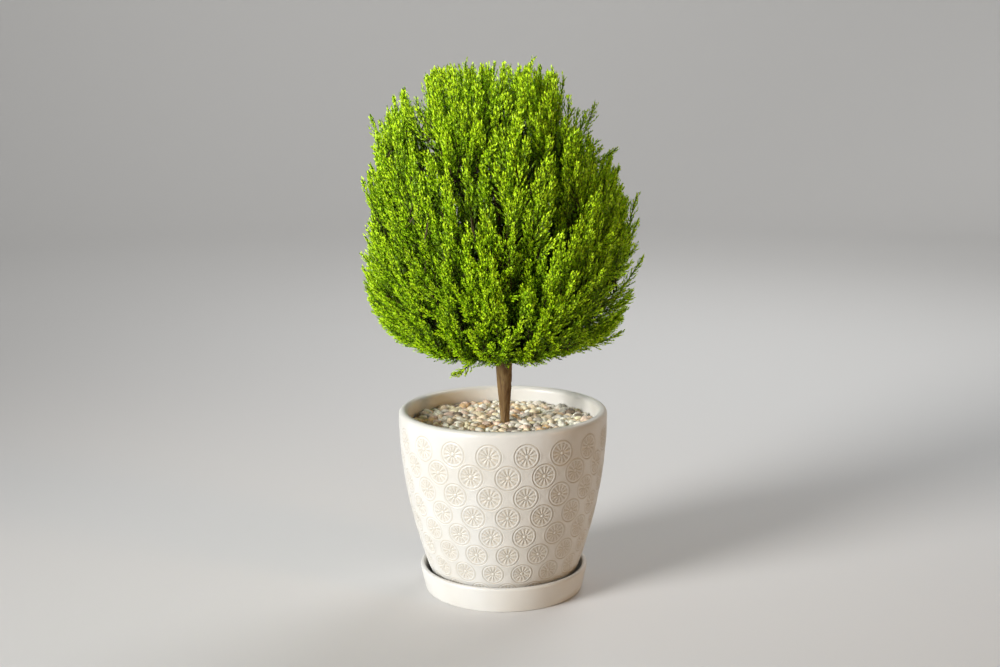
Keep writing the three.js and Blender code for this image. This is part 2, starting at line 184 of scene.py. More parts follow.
RINGS = (
    Sizes(name="skirt", count=7, leaves=(174, 180), elevation=5, turn=14, sag=0.03, shoots=9),
    Sizes(name="waist", count=7, leaves=(184, 194), elevation=22, turn=50, sag=0.08, shoots=10),
    Sizes(name="shoulder", count=6, leaves=(200, 214), elevation=45, turn=30, sag=0.1, shoots=11),
    Sizes(name="top", count=4, leaves=(230, 246), elevation=66, turn=62, sag=0.06, shoots=13),
)
PEAK = Sizes(shoots=10, seed=7001)
# The head is set more closely with finer shoots further up, where it is open otherwise
CLOSER = {"skirt": 0.75, "waist": 0.85, "shoulder": 1.25, "top": 1.35, "peak": 1.2}
WANDER = Sizes(azimuth=8, elevation=6)
BOUGH = Sizes(
    radius=2 * MM,
    tip_radius=0.7 * MM,
    entries=np.arange(0.05, 0.7, 0.01),  # shares at which it may come into its own space
    ends=np.arange(0.9, 0, -0.02),  # shares at which it may leave the head's dense heart
    usual_end=0.6,
    bark=0.9,
    around=10,
    along=40,
)
CORE = Sizes(share=0.66, depth=36 * MM)
SHOOT = Sizes(
    choices=40,
    spread=0.75,
    backing=0.45,
    stop=(0.94, 1.02),
    bow=0.12,
    root=13 * MM,
    first_node=0.04,
    margin=0.4 * MM,
    tip_margin=2 * MM,
    forks=(0.05, 0.85, 17),  # the stretch of it that finer shoots fork from, and the places on it
    bough_forks=0.88,  # the end of that stretch on the bough itself
)
# The finer shoots turn up before they end, less so low on the head
RISE = Sizes(
    lift=0.85,
    level=-0.55,
    steep=0.35,
    turn=0.5,
    outer=(0.5 * MM, 6 * MM),  # how deep most of them end under the head's surface
    inner=(14 * MM, 62 * MM),  # and one in three
    least=0.4,  # share of the way out that those two kinds reach
    heart=(0.2, 0.5),  # shares of the way out at which one in twenty ends, deep inside
    rooted=20 * MM,  # this far under its tip, a finer shoot lies in its own limb's space
)
# The surface is sunk between plumes, which are longer up than across, but not at the top
FURROWS = Sizes(
    across=24 * MM, up=62 * MM, depth=16 * MM, spread=(0.02, 0.3), fade=(375 * MM, 310 * MM)
)
# Places (x, height, radius) where sky shows between the plumes, seen from the front
OPENINGS = MM * np.array(
    [
        (-57, 347, 9),
        (-52, 334, 8),
        (50, 354, 10),
        (62, 343, 11),
        (72, 328, 9),
        (83, 226, 8),
        (77, 211, 9),
        (66, 201, 8),
    ]
)
OPENING_DEPTHS = (4 * MM, 16 * MM, 30 * MM)  # points of a finer shoot that keep off, under its tip
# Tips of the sprigs that stand out of the clipped head
SPRIGS = MM * np.array(
    [
        (-94, 8, 350),  # the tall one on the left
        (-98, -20, 306),
        (97, -12, 295),
        (100, 10, 274),
        (101, -16, 250),
        (97, 14, 222),
        (88, -18, 197),
        (-36, -56, 172),  # hangs low on the left
        (-64, 60, 184),
        (40, 92, 268),
        (-52, 84, 322),
        (58, 60, 352),
    ]
)
TWIGS = Sizes(
    bare=0.08,  # the least share of a shoot that has none
    last=0.4,  # of the longest side twig's length, from the last one to the shoot's tip
    jitter=(0.1, 0.9),
    crowding=0.92,
    outward=8 * MM,
    roll=0.7,  # radians
    lean=(54, 19),  # degrees off the shoot, of the first side twig and the last
    lean_wander=9,
    swell=(0.24, 0.88),  # the stretch of half a wave that their lengths follow
    flat=0.28,
    stunted=Sizes(share=0.3, size=0.5),
    uneven=(0.75, 1.25),
    least=0.22,
    straighter=0.2,
    length=0.95,
    brighter=0.62,
    bright_wander=0.16,
)
NEEDLES = Sizes(
    first=0.55,  # of the spacing, from the side twig's base to its first needle
    bend=0.3,
    splay=math.radians(31),
    lengths=(0.8, 1.2),
    widths=(0.85, 1.15),
    sunk=0.12,  # shares of a needle's length: its root, and where it is widest
    widest=0.42,
    fold=0.16,  # of its width
    off=0.01,  # keeps its breadth defined where it points straight on
)
STEMS = Sizes(steps=6, end=0.97, root=0.95, tip=0.35)
# A spray's tone, as a share of the way from the darkest to the lightest green. It is darker the
# deeper its shoot ends under the head's surface, which is painted shade of the head's interior and
# partly older growth
TONES = Sizes(usual=0.26, standing=1.6, out=0.9, wander=0.12, most=0.999)

STAGE = Sizes(
    level=(0, 0.6, 1.4),  # radii of the floor's flat middle
    flat=2.4,
    rise=0.9,
    top=1.6,
    steps=96,
    sky=(0.93, 0.96, 1.0, 1),
    sensor=36,
    near=0.01,
    camera=(-1.8 * MM, -992.3 * MM, 375.9 * MM),
    down=10.56,
    roll=-0.35,
)
COOL, PLAIN, WARM = (0.96, 0.98, 1.0), (1.0, 0.99, 0.975), (1.0, 0.58, 0.24)
# Each light's place, aim, size, colour and spread in degrees
LIGHTS = {
    "key": ((-1.85, -1.4, 0.84), (0, 0, 0.17), 0.9, PLAIN, 45),
    "top": ((0, 0, 3.0), (0, 0.001, 0), 2.4, PLAIN, 180),
    "fill": ((1.9, -1.1, 0.5), (0, 0, 0.05), 0.5, WARM, 30),
    "back": ((0.9, 1.6, 2.0), (0, 0, 0.24), 1.2, COOL, 80),
    "backdrop": ((0, 1.2, 2.2), (0, 3.2, 0.9), 1.6, PLAIN, 180),
}


def mix(a, b, share):
    return a + (b - a) * share


def smooth_step(start, end, value):
    share = np.clip((value - start) / (end - start), 0, 1)
    return share * share * (3 - 2 * share)


def seeded(seed):
    """Random numbers from 0 to 1 that are the same on every run."""
    state = seed
    while True:
        state = (state * 1664525 + 1013904223) % 4294967296
        yield state / 4294967296


def unit(vectors):
    """The same vectors, one in each row, made one unit long."""
    vectors = np.asarray(vectors, float)
    return vectors / np.linalg.norm(vectors, axis=-1, keepdims=True)


# Finishes


def add_node(material, kind, sockets=None, **settings):
    """Adds a node. A socket takes a number, a colour or the output of another node."""
    tree = material.node_tree
    node = tree.nodes.new(kind)
    for name, value in settings.items():
        setattr(node, name, value)
    for name, value in (sockets or {}).items():
        if isinstance(value, bpy.types.NodeSocket):
            tree.links.new(value, node.inputs[name])
        else:
            node.inputs[name].default_value = value
    return node


def shader_of(material):
    return material.node_tree.nodes["Principled BSDF"]


def new_finish(name, roughness, colour, sockets=None):
    material = bpy.data.materials.new(name)
    material.use_nodes = True
    values = {"Roughness": roughness, "Base Color": (*colour, 1), **(sockets or {})}
    for socket, value in values.items():
        shader_of(material).inputs[socket].default_value = value
    material.diffuse_color = (*colour, 1)
    return material


def mixed_colour(material, share, first, second):
    """The output of a colour mix. A colour is three numbers or another node's output."""
    colours = [
        colour if isinstance(colour, bpy.types.NodeSocket) else (*colour, 1)
        for colour in (first, second)
    ]
    # Inputs 6 and 7 and output 2 are the ones for colours, whose names others have too
    sockets = {"Factor": share, 6: colours[0], 7: colours[1]}
    return add_node(material, "ShaderNodeMix", sockets, data_type="RGBA").outputs[2]


def spread_share(material, value, start, end):
    """Runs from 0 to 1 while a value runs from start to end."""
    sockets = {"Value": value, "From Min": start, "From Max": end}
    return add_node(material, "ShaderNodeMapRange", sockets).outputs["Result"]


def noise_share(material, scale, start, end, detail=3.0, stretch=(1, 1, 1)):
    """Noise on the object's own coordinates, spread to run from 0 to 1 between two values."""
    place = add_node(material, "ShaderNodeTexCoord").outputs["Object"]
    sized = add_node(material, "ShaderNodeMapping", {"Vector": place, "Scale": stretch})
    sockets = {"Vector": sized.outputs["Vector"], "Scale": scale, "Detail": detail}
    speckle = add_node(material, "ShaderNodeTexNoise", sockets)
    return spread_share(material, speckle.outputs["Fac"], start, end)


def hollow_share(material, start, end):
    """How deep the mesh says that its points lie, spread to run from 0 to 1 between two depths."""
    kept = add_node(material, "ShaderNodeAttribute", attribute_name="hollow")
    return spread_share(material, kept.outputs["Fac"], start, end)


def add_bump(material, height, distance, strength=1.0):
    sockets = {"Height": height, "Distance": distance, "Strength": strength}
    bump = add_node(material, "ShaderNodeBump", sockets)
    material.node_tree.links.new(bump.outputs["Normal"], shader_of(material).inputs["Normal"])


def colour_with(material, colour):
    material.node_tree.links.new(colour, shader_of(material).inputs["Base Color"])


def glaze_finish(name, glaze, hollow):
    """Satin cream glaze: a little uneven, and darker in the stamped hollows, partly as glaze run
    together there and partly as painted shade.
    """
    material = new_finish(name, 0.42, glaze, {"Coat Weight": 0.12, "Coat Roughness": 0.3})
    cloud = noise_share(material, scale=18, start=0.35, end=0.7)
    warmer = tuple(mix(a, b, 0.35) for a, b in zip(glaze, hollow))
    clouded = mixed_colour(material, cloud, glaze, warmer)
    # Darker down in the stamped hollows: glaze that has run together, and painted shade of the
    # relief
    depth = hollow_share(material, start=0.2, end=1.0)
    colour_with(material, mixed_colour(material, depth, clouded, hollow))
    grain = noise_share(material, scale=420, start=0.3, end=0.7, detail=4)
    add_bump(material, grain, distance=0.06 * MM, strength=0.6)
    return material


def soil_finish(dark, light):
    material = new_finish("potting_mix", 0.95, dark)
    crumbs = noise_share(material, scale=260, start=0.4, end=0.65, detail=5)
    colour_with(material, mixed_colour(material, crumbs, dark, light))
    add_bump(material, crumbs, distance=1.2 * MM)
    return material


def pebble_finish(number, colour):
    """One tone of stone, with a paler or darker cast in patches and fine grains."""
    material = new_finish(f"pebble_{number}", 0.55, colour)
    darker = tuple(channel * 0.62 for channel in colour)
    paler = tuple(min(1, channel * 1.25) for channel in colour)
    patches = noise_share(material, scale=230, start=0.35, end=0.65, detail=2)
    grains = noise_share(material, scale=1500, start=0.5, end=0.72, detail=2)
    patched = mixed_colour(material, patches, darker, paler)
    colour_with(material, mixed_colour(material, grains, patched, darker))
    add_bump(material, grains, distance=0.12 * MM, strength=0.6)
    return material


def bark_finish(name, pale, rusty, dark):
    """Thin fibrous bark: rusty streaks along the limb, and dark down in its furrows."""
    material = new_finish(name, 0.85, pale)
    streaks = noise_share(
        material, scale=420, start=0.38, end=0.62, detail=5, stretch=(1, 1, 0.16)
    )
    streaked = mixed_colour(material, streaks, pale, rusty)
    furrows = hollow_share(material, start=0.25, end=1.0)
    colour_with(material, mixed_colour(material, furrows, streaked, dark))
    add_bump(material, streaks, distance=0.25 * MM)
    return material


def leaf_finish(name, colour):
    return new_finish(name, 0.5, colour, {"Specular IOR Level": 0.35})


# Making pieces


def shown_object(name, mesh, materials, smooth=True):
    for material in materials:
        mesh.materials.append(material)
    if smooth:
        mesh.shade_smooth()
    shown = bpy.data.objects.new(name, mesh)
    bpy.context.scene.collection.objects.link(shown)
    return shown


def finished_piece(name, mesh, materials, replaced=(), smooth=True):
    """Shows a mesh as a piece that rides on the body and stands for those solids."""
    piece = shown_object(name, mesh, materials, smooth)
    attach(piece, BODY)
    if replaced:
        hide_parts(*replaced)


def mesh_from(bm, name):
    mesh = bpy.data.meshes.new(name)
    bmesh.ops.recalc_face_normals(bm, faces=bm.faces)
    bm.to_mesh(mesh)
    bm.free()
    return mesh


def joined_mesh(name, points, triangles, tones=None):
    """One mesh from arrays of points and triangles, and a material's number for each triangle."""
    mesh = bpy.data.meshes.new(name)
    mesh.from_pydata(points.tolist(), [], triangles.tolist())
    if tones is not None:
        mesh.polygons.foreach_set("material_index", tones.astype(np.int32))
    mesh.update()
    return mesh


def turned_mesh(name, profile, steps):
    """Spins a profile of (radius, height) pairs, which starts on the axis."""
    bm = bmesh.new()
    verts = [bm.verts.new((radius, 0, height)) for radius, height in profile]
    edges = [bm.edges.new(pair) for pair in zip(verts, verts[1:])]
    bmesh.ops.spin(
        bm,
        geom=verts + edges,
        axis=(0, 0, 1),
        cent=(0, 0, 0),
        angle=TURN,
        steps=steps,
        use_merge=True,
    )
    bmesh.ops.remove_doubles(bm, verts=bm.verts, dist=MERGE)
    return mesh_from(bm, name)


def arc(radius, height, size, start, end, steps):
    """Points of part of a circle, as (radius, height) pairs. Angles are in degrees."""
    angles = [math.radians(mix(start, end, i / steps)) for i in range(steps + 1)]
    return [(radius + size * math.cos(a), height + size * math.sin(a)) for a in angles]


# Pot and saucer


def pot_radius(z):
    share = np.maximum(0, (POT.belly_top - z) / POT.belly_top)
    return POT.rim * (1 - POT.belly_drop * share**POT.belly_power)


def stamp_rings(depth):
    """A medallion from its middle outwards: (radius, height of its spokes, height between them).

    Radii are shares of its own. A hub, spokes, a ring of dots between the spokes' ends, a rim
    and the groove round it.
    """
    rings = (
        (0.0, -0.1, -0.1),
        (0.1, -0.2, -0.2),
        (0.16, -0.9, -0.9),
        (0.23, -0.1, -0.8),
        (0.49, -0.1, -0.95),
        (0.57, -0.2, -0.9),
        (0.62, -0.3, -0.35),
        (0.69, -0.25, -1.1),
        (0.76, -0.2, -0.3),
        (0.86, 0.1, 0.1),
        (0.93, -1.0, -1.0),
        (0.985, 0.1, 0.1),
        (1.02, 0.0, 0.0),
    )
    return np.array(rings) * (1, depth, depth)


def blank_cell(rings):
    """A disc of that many rings: for each point its ring and its place on it, and the faces."""
    bm = bmesh.new()
    centre, *loop = bmesh.ops.create_circle(
        bm, cap_ends=True, cap_tris=True, segments=STAMPS.around, radius=1
    )["verts"]
    centre.co = (0, 0, 0)
    for ring in range(1, rings):
        for k, vert in enumerate(loop):
            vert.co = (ring, k, 0)
        if ring < rings - 1:
            loop = widened(bm, loop)
    bm.verts.index_update()
    marks = np.array([vert.co[:2] for vert in bm.verts]).astype(int)
    faces = [[vert.index for vert in face.verts] for face in bm.faces]
    bm.free()
    return marks, faces


def widened(bm, loop):
    """Extrudes a closed loop of points once, and returns the new loop in the same order."""
    edges = [bm.edges.get((a, b)) for a, b in zip(loop, loop[1:] + loop[:1])]
    made = bmesh.ops.extrude_edge_only(bm, edges=edges)["geom"]
    fresh = {v for v in made if isinstance(v, bmesh.types.BMVert)}
    return [next(e.other_vert(v) for e in v.link_edges if e.other_vert(v) in fresh) for v in loop]


def diamond(share):
    """Points evenly along the sides of a diamond of half width and half height 1."""
    side, along = np.divmod(share * 4, 1)
    corners = np.array([(1, 0), (0, 1), (-1, 0), (0, -1), (1, 0)])
    side = side.astype(int) % 4
    return mix(corners[side], corners[side + 1], along[:, None])


def stamped_cell(marks, column, half_row, settings, random):
    """A medallion in the middle of its own diamond of the wall: its points, and their hollows."""
    rings = stamp_rings(settings.relief if half_row < STAMPS.rows - 1 else 0)
    turn = TURN / STAMPS.columns
    angle = STAMPS.first + column * turn
    z = STAMPS.lowest + half_row * STAMPS.row / 2
    wide = pot_radius(z) * turn
    tall = STAMPS.row / 2
    fits = STAMPS.fills * wide * tall / math.hypot(wide, tall)
    radius = min(settings.medallion / 2, fits)
    slack = min(STAMPS.wander, fits - radius)
    shift = slack * np.array([2 * next(random) - 1, 2 * next(random) - 1])
    ring, place = marks.T
    share = place / STAMPS.around
    edge = ring == len(rings)
    radii, on_spoke, between = rings[np.minimum(ring, len(rings) - 1)].T
    phase = (share * settings.spokes + next(random)) * TURN
    lift = np.where(edge, 0, mix(between, on_spoke, 0.5 + 0.5 * np.cos(phase)))
    round_ = share * TURN
    flat = shift + radius * radii[:, None] * np.stack([np.cos(round_), np.sin(round_)], 1)
    flat = np.where(edge[:, None], diamond(share) * (wide, tall), flat)
    turned = angle + flat[:, 0] / pot_radius(z)
    height = z + flat[:, 1]
    out = pot_radius(height) + lift
    points = np.stack([out * np.sin(turned), -out * np.cos(turned), height], 1)
    return points, np.clip(-lift / settings.relief, 0, 1)


def open_end(bm, z, near=2 * MM):
    """The edges of the open end that lies nearest to a height."""
    edges = [e for e in bm.edges if e.is_boundary]
    return [e for e in edges if abs(e.verts[0].co.z - z) < near]


def drawn_out(bm, hollow, edges, profile):
    """Carries an open end of the pot along a profile of (radius, height) pairs, and closes it."""
    for radius, height in profile:
        made = bmesh.ops.extrude_edge_only(bm, edges=edges)["geom"]
        edges = [e for e in made if isinstance(e, bmesh.types.BMEdge)]
        for vert in {v for v in made if isinstance(v, bmesh.types.BMVert)}:
            level = vert.co.xy.normalized() * radius
            vert.co = (level.x, level.y, height)
            vert[hollow] = 0
    bmesh.ops.edgeloop_fill(bm, edges=edges)


def stamped_wall(settings):
    """The outside of the pot's wall as one mesh of medallions."""
    marks, cell = blank_cell(len(stamp_rings(0)) + 1)
    random = seeded(STAMPS.seed)
    points, hollows, faces = [], [], []
    for half_row in range(STAMPS.rows):
        for column in range(half_row % 2, STAMPS.columns, 2):
            first = len(points) * len(marks)
            faces += [[first + k for k in face] for face in cell]
            placed, hollow = stamped_cell(marks, column, half_row, settings, random)
            points.append(placed)
            hollows.append(hollow)
    mesh = bpy.data.meshes.new("stamped_wall")
    mesh.from_pydata(np.concatenate(points).tolist(), [], faces)
    layer = mesh.attributes.new("hollow", "FLOAT", "POINT")
    layer.data.foreach_set("value", np.concatenate(hollows))
    return mesh


def make_pot(settings):
    wall = stamped_wall(settings)
    bm = bmesh.new()
    bm.from_mesh(wall)
    bpy.data.meshes.remove(wall)
    hollow = bm.verts.layers.float["hollow"]
    bmesh.ops.remove_doubles(bm, verts=bm.verts, dist=STAMPS.merge)
    for height, away in ((STAMPS.top, 1), (STAMPS.bottom, -1)):
        bmesh.ops.bisect_plane(
            bm,
            geom=bm.verts[:] + bm.edges[:] + bm.faces[:],
            dist=STAMPS.merge,
            plane_co=(0, 0, height),
            plane_no=(0, 0, away),
            clear_outer=True,
        )
    lip = POT.lip
    inside = (*POT.inner_steps, POT.foot + POT.floor)
    over = [
        *arc(pot_radius(POT.top) - lip, POT.top - lip, lip, 0, 180, 8),
        (pot_radius(POT.top) - POT.wall, POT.top - POT.lip_depth * lip),
        *((pot_radius(height) - POT.wall, height) for height in inside),
    ]
    middle = POT.foot + POT.foot_round
    under = arc(pot_radius(middle) - POT.foot_round, middle, POT.foot_round, 0, -90, 4)
    drawn_out(bm, hollow, open_end(bm, STAMPS.top), over)
    drawn_out(bm, hollow, open_end(bm, STAMPS.bottom), under)
    glaze = glaze_finish("stamped_glaze", settings.glaze, settings.hollow)
    finished_piece("pot_stamped", mesh_from(bm, "pot_stamped"), [glaze], ["pot"])


def make_saucer(settings):
    lip = SAUCER.wall / 2
    inner = SAUCER.base - SAUCER.wall
    out, up = SAUCER.flare
    profile = [
        (0, 0),
        *arc(SAUCER.base - SAUCER.edge, SAUCER.edge, SAUCER.edge, -90, -15, 4),
        (mix(SAUCER.base, SAUCER.rim, out), SAUCER.height * up),
        *arc(SAUCER.rim - lip, SAUCER.height - lip, lip, -10, 190, 10),
        (inner, SAUCER.floor + 2 * SAUCER.edge),
        *arc(inner - SAUCER.edge, SAUCER.floor + SAUCER.edge, SAUCER.edge, 0, -90, 4),
        (0, SAUCER.floor),
    ]
    glaze = glaze_finish("plain_glaze", settings.glaze, settings.hollow)
    mesh = turned_mesh("saucer_glazed", profile, SAUCER.steps)
    finished_piece("saucer_glazed", mesh, [glaze], ["saucer"])


# Soil and gravel


def make_soil(settings):
    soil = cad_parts["soil"]
    soil.data.materials.clear()
    soil.data.materials.append(soil_finish(settings.soil, settings.crumbs))


def pebble_shapes():
    """Rounded stones, as arrays of their points round the origin, and the triangles of all."""
    shapes = []
    lumps = GRAVEL.lumps
    for number in range(GRAVEL.shapes):
        bm = bmesh.new()
        bmesh.ops.create_icosphere(bm, subdivisions=2, radius=1)
        for vert in bm.verts:
            lump = noise.noise(vert.co * lumps.size + Vector((number * lumps.apart, 0, 0)))
            vert.co *= 1 + lumps.depth * lump
        shapes.append(np.array([v.co for v in bm.verts]))
        triangles = np.array([[v.index for v in face.verts] for face in bm.faces])
        bm.free()
    return shapes, triangles


def settled_pebbles(settings, height, wander, random):
    """Centres and half lengths of one layer of stones that have pushed each other apart."""
    count = int(settings.pebbles)
    order = np.arange(count) + 0.5
    out = GRAVEL.radius * np.sqrt(order / count)
    angle = order * GOLDEN_ANGLE
    places = np.stack([out * np.cos(angle), out * np.sin(angle)], 1)
    places += random.uniform(-1, 1, places.shape) * MM
    halves = settings.pebble / 2
    for lengths in GRAVEL.lengths:
        halves = halves * random.uniform(*lengths, count)
    stem = np.array([[TRUNK.neck.x, 0.0]])
    for _ in range(GRAVEL.rounds):
        apart = places[:, None] - places[None]
        distance = np.linalg.norm(apart, axis=2) + np.eye(count)
        wanted = GRAVEL.closeness * (halves[:, None] + halves[None])
        push = np.clip(wanted - distance, 0, None) * (1 - np.eye(count))
        places += GRAVEL.push * (apart / distance[..., None] * push[..., None]).sum(1)
        from_stem = places - stem
        gap = np.linalg.norm(from_stem, axis=1, keepdims=True)
        clear = TRUNK.neck.radius + GRAVEL.stem_closeness * halves[:, None]
        places += from_stem / gap * np.clip(clear - gap, 0, None)
        radius = np.linalg.norm(places, axis=1, keepdims=True)
        most = GRAVEL.radius + GRAVEL.edge - GRAVEL.edge_closeness * halves[:, None]
        places *= np.minimum(1, most / radius)
    heights = height + wander * random.uniform(-1, 1, count)
    return np.column_stack([places, heights]), halves


def make_gravel(settings):
    shapes, triangles = pebble_shapes()
    points, faces, tones = [], [], []
    weights = np.array(list(STONES.values()))
    for height, wander, seed in GRAVEL.layers:
        random = np.random.default_rng(seed)
        places, halves = settled_pebbles(settings, height, wander, random)
        for place, half in zip(places, halves):
            width, tallness = random.uniform(*GRAVEL.widths), random.uniform(*GRAVEL.heights)
            turn = Matrix.Rotation(random.uniform(0, TURN), 3, "Z")
            tilt = Matrix.Rotation(random.uniform(-GRAVEL.tilt, GRAVEL.tilt), 3, "X")
            size = half * np.array([1.0, width, tallness])
            stone = shapes[random.integers(len(shapes))] * size
            faces.append(triangles + len(points) * len(stone))
            points.append(stone @ np.array(turn @ tilt).T + place)
            tones.append(np.full(len(triangles), random.choice(len(weights), p=weights)))
    mesh = joined_mesh("pebbles", *map(np.concatenate, (points, faces, tones)))
    finishes = [
        pebble_finish(number + 1, tuple(getattr(settings, stone)))
        for number, stone in enumerate(STONES)
    ]
    finished_piece("pebbles", mesh, finishes, ["gravel"])


# Trunk, boughs and the lines that the foliage grows along


def trunk_point(z):
    below = z < TRUNK.fork.z
    low, high = (TRUNK.neck, TRUNK.fork) if below else (TRUNK.fork, TRUNK.tip)
    x = mix(low.x, high.x, (z - low.z) / (high.z - low.z))
    return np.array([x, TRUNK.sway * math.sin((z - TRUNK.soil) / TRUNK.sway_length), z])


def trunk_radius(z):
    if z < TRUNK.fork.z:
        swollen = smooth_step(TRUNK.neck.z + TRUNK.swell[0], TRUNK.fork.z + TRUNK.swell[1], z)
        return mix(TRUNK.neck.radius, TRUNK.fork.radius, float(swollen))
    share = (z - TRUNK.fork.z) / (TRUNK.tip.z - TRUNK.fork.z)
    return mix(TRUNK.fork.radius, TRUNK.tip.radius, share**TRUNK.taper_power)


FAN = np.array([trunk_point(HEAD.fan)[0], 0, HEAD.fan])


def head_axis_x(z):
    return HEAD.offset + HEAD.lean * smooth_step(HEAD.lean_from, HEAD.lean_to, z)


def head_radius(z):
    """The head's outline: its radius at each height, 0 outside it."""
    upper = z > HEAD.widest
    span = np.where(upper, HEAD.top - HEAD.widest, HEAD.widest - HEAD.bottom)
    share = np.clip(np.abs(z - HEAD.widest) / span, 0, 1)
    power = np.where(upper, HEAD.upper_power, HEAD.lower_power)
    drawn_in = np.where(upper, 1 - HEAD.taper * share, 1)
    return HEAD.radius * drawn_in * (1 - share**power) ** (1 / power)


def reach(directions):
    """How far it is from the fan's point to the head's surface, along unit vectors, by halving."""
    inside = np.zeros(len(directions))
    outside = np.full(len(directions), HEAD.top)
    for _ in range(HEAD.halvings):
        middle = (inside + outside) / 2
        p = FAN + directions * middle[:, None]
        within = np.hypot(p[:, 0] - head_axis_x(p[:, 2]), p[:, 1]) < head_radius(p[:, 2])
        inside = np.where(within, middle, inside)
        outside = np.where(within, outside, middle)
    return inside


def curve_point(start, control, end, share):
    """Points of quadratic curves. Shares are from 0 to 1, and what is given is fitted together."""
    return (1 - share) ** 2 * start + 2 * share * (1 - share) * control + share**2 * end


def curve_tangent(start, control, end, share):
    return unit((1 - share) * (control - start) + share * (end - control))


def sideways(ahead, beside):
    """Two directions square to the way ahead and to each other, the first square to beside too."""
    across = unit(np.cross(ahead, beside))
    return across, np.cross(across, ahead)


def around(across, up, turn):
    """The direction at an angle round the way ahead, from two that are square to it."""
    return np.cos(turn)[..., None] * across + np.sin(turn)[..., None] * up


class Limb:
    """A bough's line, from the trunk to near the head's surface, and the shoots it carries."""

    def __init__(self, name, start, direction, sag, shoots, seed):
        self.name = name
        self.ring = name.split("_")[0]
        self.direction = direction
        self.start = start
        self.end = FAN + direction * HEAD.limb_tips * reach(direction[None])[0]
        self.control = (start + self.end) / 2
        self.control[2] -= sag * np.linalg.norm(self.end - start)
        self.shoots = shoots
        self.sprigs = []
        self.seed = seed
        line = self.point(np.linspace(0, 1, 65)[:, None])
        self.length = np.linalg.norm(np.diff(line, axis=0), axis=1).sum()

    def point(self, share):
        return curve_point(self.start, self.control, self.end, share)

    def find_stretches(self, limbs):
        """Where the line comes into its own space, and where it leaves the head's dense heart."""
        self.others = unit([self.direction - o.direction for o in limbs if o is not self])
        points = self.point(BOUGH.entries[:, None])
        inside = clear_of_stem(points) & (self.inside(points) > BOUGH.radius + SHOOT.margin)
        self.entry = 0.0 if self.name == "peak" else BOUGH.entries[inside.argmax()]
        rays = self.point(BOUGH.ends[:, None]) - FAN
        out = np.linalg.norm(rays, axis=1)
        in_heart = out < heart_reach(unit(rays)) - SHOOT.root
        self.stem_end = BOUGH.ends[in_heart.argmax()] if in_heart.any() else BOUGH.usual_end

    def inside(self, points):
        """How far points lie inside this limb's own space, a cone from the fan's point."""
        return ((points - FAN) @ self.others.T).min(1)


def clear_of_stem(points):
    level = np.hypot(points[:, 0] - head_axis_x(points[:, 2]), points[:, 1])
    return (points[:, 2] > TRUNK.tip.z) | (level > HEAD.clear_stem)


def heart_reach(directions):
    surface = reach(directions)
    return np.maximum(CORE.share * surface, surface - CORE.depth)


def make_limbs():
    limbs = []
    for ring in RINGS:
        for k in range(ring.count):
            random = seeded(101 + len(limbs) * 17)
            azimuth = ring.turn + k * 360 / ring.count + WANDER.azimuth * (next(random) - 0.5)
            elevation = ring.elevation + WANDER.elevation * (next(random) - 0.5)
            round_, up = math.radians(azimuth), math.radians(elevation)
            level = math.cos(up)
            direction = np.array([level * math.cos(round_), level * math.sin(round_), math.sin(up)])
            leaves = mix(*ring.leaves, ((k * 3) % ring.count) / (ring.count - 1)) * MM
            start = trunk_point(leaves)
            seed = 1000 + len(limbs) * 37
            name = f"{ring.name}_{k + 1}"
            limbs.append(Limb(name, start, direction, ring.sag, ring.shoots, seed))
    peak = unit(np.array([head_axis_x(HEAD.top), 0, HEAD.top]) - FAN)
    limbs.append(Limb("peak", trunk_point(TRUNK.tip.z), peak, 0, PEAK.shoots, PEAK.seed))
    for limb in limbs:
        limb.find_stretches(limbs)
    for sprig in SPRIGS:
        aims = [limb.direction @ (sprig - FAN) for limb in limbs]
        limbs[int(np.argmax(aims))].sprigs.append(sprig)
    return limbs


def wrapped_limb(bm, hollow, around, along, place):
    """A closed limb from a grid: place(turn, share) gives each point and how deep it lies."""
    verts = bmesh.ops.create_grid(bm, x_segments=around, y_segments=along, size=1)["verts"]
    for vert in verts:
        vert.co, vert[hollow] = place((vert.co.x + 1) / 2, (vert.co.y + 1) / 2)
    bmesh.ops.remove_doubles(bm, verts=verts, dist=MERGE)
    ends = [e for v in verts if v.is_valid for e in v.link_edges if e.is_boundary]
    bmesh.ops.holes_fill(bm, edges=list(set(ends)), sides=0)


def bark_depth(angle, z, radius, seed):
    """How deep the bark's furrows are at a point of a limb, from 0 to 1."""
    out = radius * BARK.across
    p = Vector((math.cos(angle) * out, math.sin(angle) * out, z * BARK.along + seed))
    ridged = 1 - abs(noise.noise(p)) * BARK.ridges
    flakes = noise.noise(p * BARK.flakes + Vector((0, 0, 9)))
    return max(0.0, min(1.0, BARK.ridge_share * ridged**3 + BARK.flake_share * flakes))


def make_trunk(settings):
    bm = bmesh.new()
    hollow = bm.verts.layers.float.new("hollow")

    def place(turn, share):
        angle = (turn % 1) * TURN
        z = mix(TRUNK.foot, TRUNK.tip.z, share)
        radius = trunk_radius(z)
        depth = bark_depth(angle, z, radius, 0)
        level = Vector((math.cos(angle), math.sin(angle), z * BARK.knots.along))
        knots = BARK.knots.depth * noise.noise(level)
        out = radius + BARK.proud * settings.relief + knots - depth * settings.relief
        x, y, _ = trunk_point(z)
        return (x + out * math.cos(angle), y + out * math.sin(angle), z), depth

    wrapped_limb(bm, hollow, TRUNK.around, TRUNK.along, place)
    bark = bark_finish("trunk_bark", settings.pale, settings.rusty, settings.dark)
    finished_piece("trunk_bark", mesh_from(bm, "trunk_bark"), [bark], ["trunk"])


